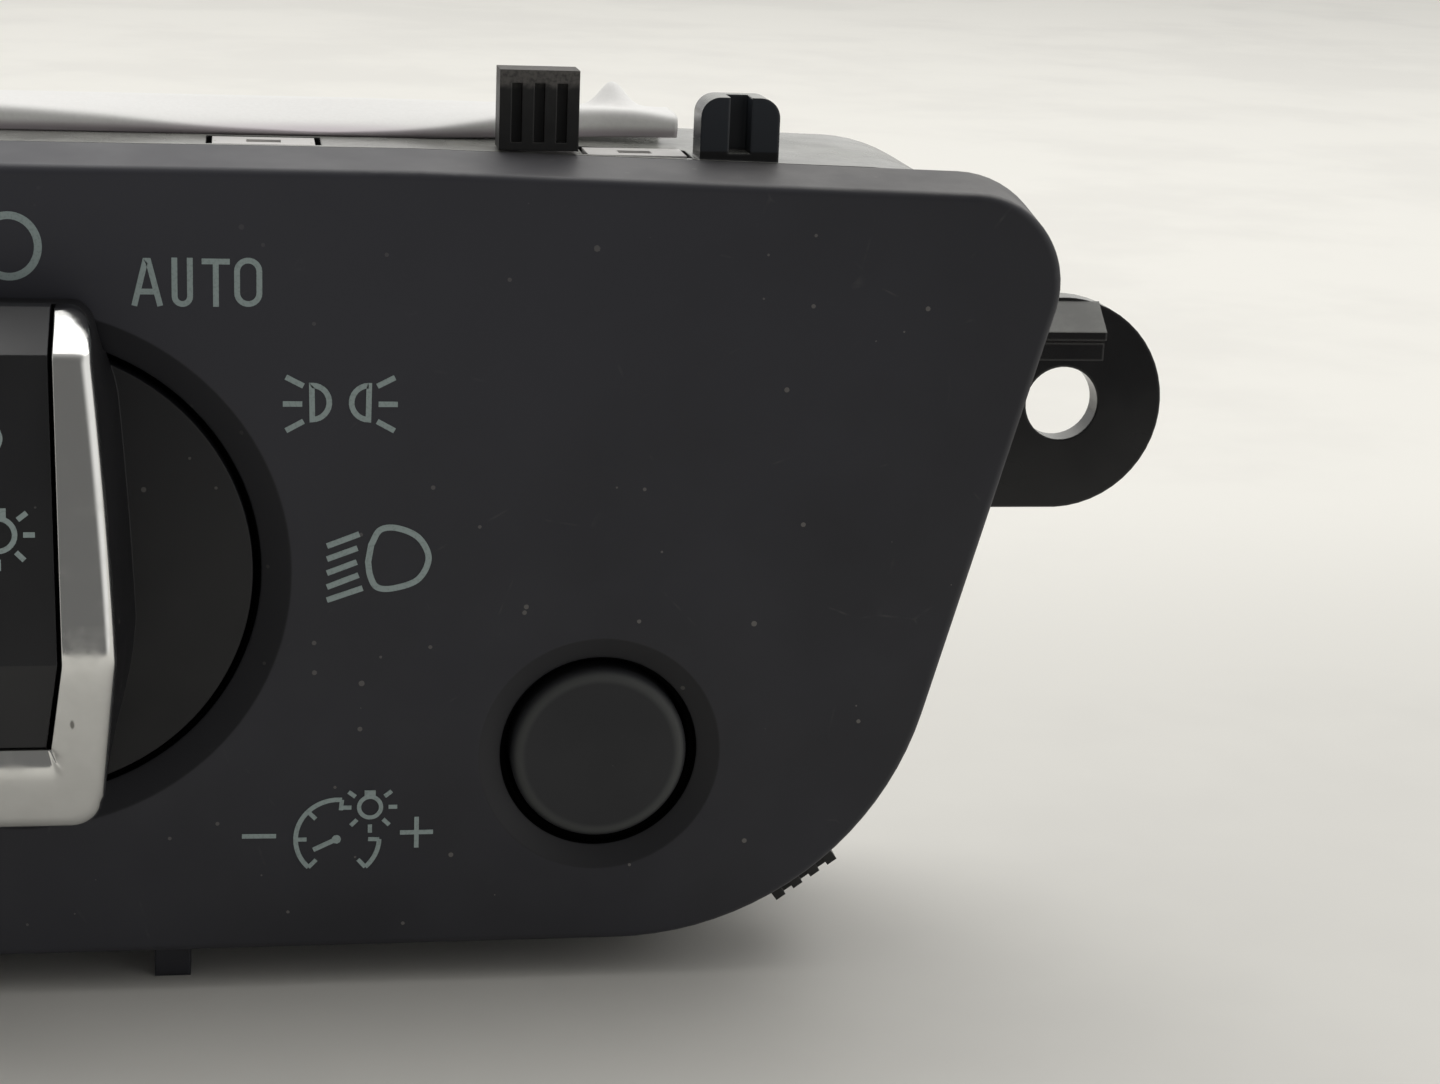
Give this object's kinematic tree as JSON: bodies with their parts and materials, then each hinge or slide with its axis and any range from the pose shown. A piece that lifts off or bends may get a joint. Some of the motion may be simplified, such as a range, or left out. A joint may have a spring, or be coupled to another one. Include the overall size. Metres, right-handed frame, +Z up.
{
  "type": "headlight switch",
  "caption": "Dashboard headlight switch: black face plate with a turning light knob, a rocking key in its bright grip and a pop-out dimmer knob.",
  "frame": {"origin": "midpoint between the two lug screw holes, on the lugs' front face", "axes": "+X along the face to the right as the driver sees it, +Y into the dashboard, +Z up"},
  "size_m": [0.1628, 0.058, 0.0795],
  "materials": {
    "face_plastic": "fine matte moulded black",
    "white_plastic": "white moulded light carrier",
    "housing_plastic": "smooth black moulding",
    "board": "green board lacquer",
    "knob_plastic": "fine matte black",
    "bright_trim": "satin bright plating",
    "key_plastic": "smooth black lacquer",
    "silicone": "milky silicone",
    "clear_plastic": "clear moulding",
    "acetal": "natural acetal",
    "steel": "spring steel",
    "cap_plastic": "soft-touch dark grey",
    "encoder_case": "black moulding",
    "diode": "white diode body",
    "contact_metal": "tinned brass",
    "buffer_rubber": "black rubber, greyed on top",
    "paper": "thin white paper"
  },
  "bodies": {
    "root": {"front_bezel": "face_plastic", "light_carrier": "white_plastic", "rear_housing": "housing_plastic", "circuit_board": "board", "dimmer_encoder": "encoder_case", "detent_spring": "steel", "dimmer_spring": "steel", "symbol_light_guides": "clear_plastic", "backlight_diodes": "diode", "pin_header": "encoder_case", "contact_pins": "contact_metal", "housing_screws": "steel", "top_buffer": "buffer_rubber", "corner_buffer": "buffer_rubber", "paper_strip": "paper"},
    "knob": {"light_knob": "knob_plastic", "grip_trim": "bright_trim", "key_mat": "silicone", "key_light_guide": "clear_plastic", "detent_wheel": "acetal", "knob_clip": "steel"},
    "key": {"grip_key": "key_plastic"},
    "plunger": {"detent_plunger": "acetal"},
    "dimmer_carriage": {"dimmer_sleeve": "acetal"},
    "dimmer_knob": {"dimmer_cap": "cap_plastic", "dimmer_stem": "acetal"}
  },
  "joints": [
    {"name": "knob_turn", "type": "hinge", "parent": "root", "child": "knob", "pos_m": [-0.0205, -0.012, -0.0122], "axis": [0, 1, 0], "range_deg": [0, 90]},
    {"name": "key_rock", "type": "hinge", "parent": "knob", "child": "key", "pos_m": [-0.0205, -0.0202, -0.0092], "axis": [1, 0, 0], "range_deg": [-2, 2], "stiffness_Nm_per_rad": 1},
    {"name": "plunger_slide", "type": "slide", "parent": "root", "child": "plunger", "axis": [0, 0, -1], "range_m": [0, 0.0008], "stiffness_N_per_m": 400, "springref_m": -0.002, "deforming": ["detent_spring"]},
    {"name": "dimmer_push", "type": "slide", "parent": "root", "child": "dimmer_carriage", "axis": [0, -1, 0], "range_m": [-0.001, 0.007], "deforming": ["dimmer_spring"]},
    {"name": "dimmer_turn", "type": "hinge", "parent": "dimmer_carriage", "child": "dimmer_knob", "pos_m": [0.02874, -0.012, -0.02898], "axis": [0, 1, 0], "range_deg": [-135, 135]}
  ]
}
